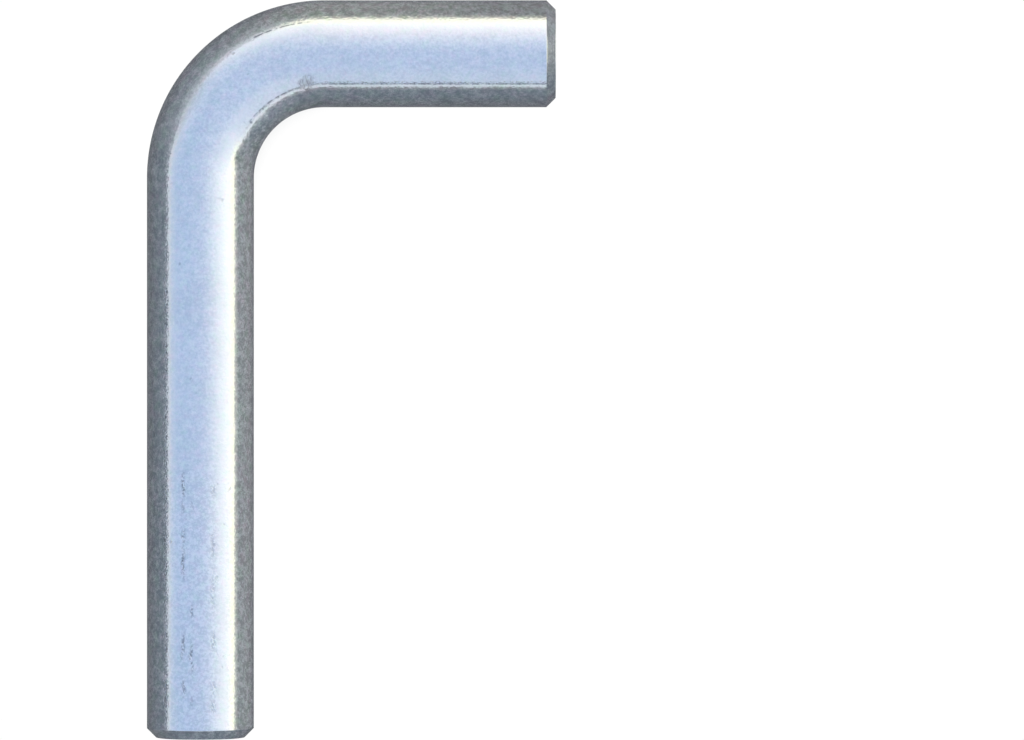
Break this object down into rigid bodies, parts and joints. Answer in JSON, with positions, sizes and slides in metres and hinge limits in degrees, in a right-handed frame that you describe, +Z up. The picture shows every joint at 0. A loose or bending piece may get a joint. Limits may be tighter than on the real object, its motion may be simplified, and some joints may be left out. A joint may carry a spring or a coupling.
{
  "type": "gooseneck anchor pin",
  "caption": "Round steel bar bent once through a right angle into a long and a short leg, with both cut ends chamfered; zinc plated.",
  "frame": {"origin": "middle of the pin's bounding box in plan, on the flat surface that the pin lies on", "axes": "the pin lies flat on its side, +Z up through the bar; the long leg runs toward -Y and the short leg toward +X"},
  "size_m": [0.0486, 0.0876, 0.0127],
  "materials": {
    "zinc_plated_steel": "bluish bright zinc plate over drawn steel bar, with a fine mottle"
  },
  "bodies": {
    "root": {"bent_pin": "zinc_plated_steel"}
  },
  "joints": []
}
